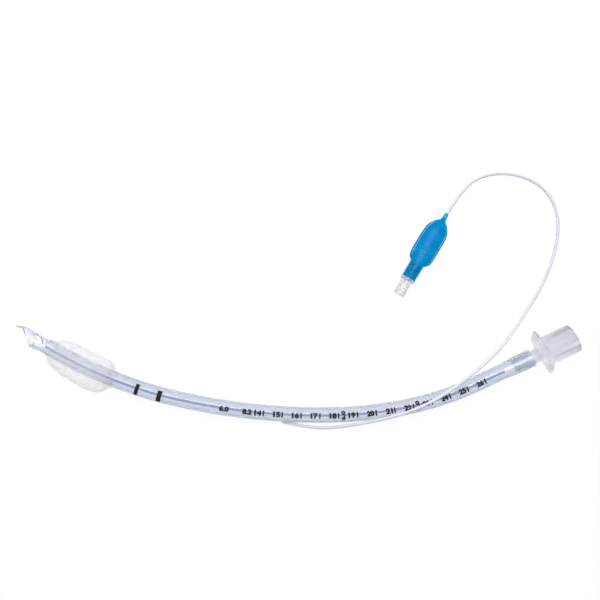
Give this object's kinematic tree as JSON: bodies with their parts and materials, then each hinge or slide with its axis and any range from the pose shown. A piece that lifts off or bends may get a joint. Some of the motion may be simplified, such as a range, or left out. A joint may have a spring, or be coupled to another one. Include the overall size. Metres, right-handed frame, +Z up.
{
  "type": "endotracheal tube",
  "caption": "Cuffed breathing tube: curved clear shaft with a hooded bevelled tip, inflated cuff, tapered machine-end connector, and a thin line to a blue pilot balloon with a check valve.",
  "frame": {"origin": "middle of the box round the shaft, cuff and connector, at the table", "axes": "+X towards the machine end, +Y towards the inside of the bend, +Z up from the table"},
  "size_m": [0.2944, 0.1394, 0.0203],
  "materials": {
    "clear_pvc": "clear plasticised PVC, faintly blue-grey",
    "stripe": "blue-grey radiopaque PVC stripe",
    "black_ink": "black printed ink",
    "cuff_film": "thin milky film",
    "connector_pp": "translucent natural polypropylene",
    "line_pvc": "clear PVC tubing",
    "blue_pvc": "blue translucent PVC",
    "clear_valve": "clear polycarbonate",
    "white_valve": "white acetal",
    "seal_rubber": "soft grey elastomer",
    "spring_steel": "stainless spring wire"
  },
  "bodies": {
    "tube": {"tube_shaft": "clear_pvc", "xray_line": "stripe", "guide_bands": "black_ink", "depth_ticks": "black_ink", "cuff": "cuff_film", "connector": "connector_pp", "inflation_line": "line_pvc", "pilot_balloon": "blue_pvc", "valve_body": "clear_valve", "valve_base": "clear_valve", "valve_spring": "spring_steel"},
    "stem": {"valve_stem": "white_valve", "valve_seal": "seal_rubber"}
  },
  "joints": [
    {"name": "stem_slide", "type": "slide", "parent": "tube", "child": "stem", "axis": [0.515, 0.8572, 0], "range_m": [0, 0.0012], "stiffness_N_per_m": 1100, "springref_m": -0.0015, "deforming": ["valve_spring"]}
  ]
}
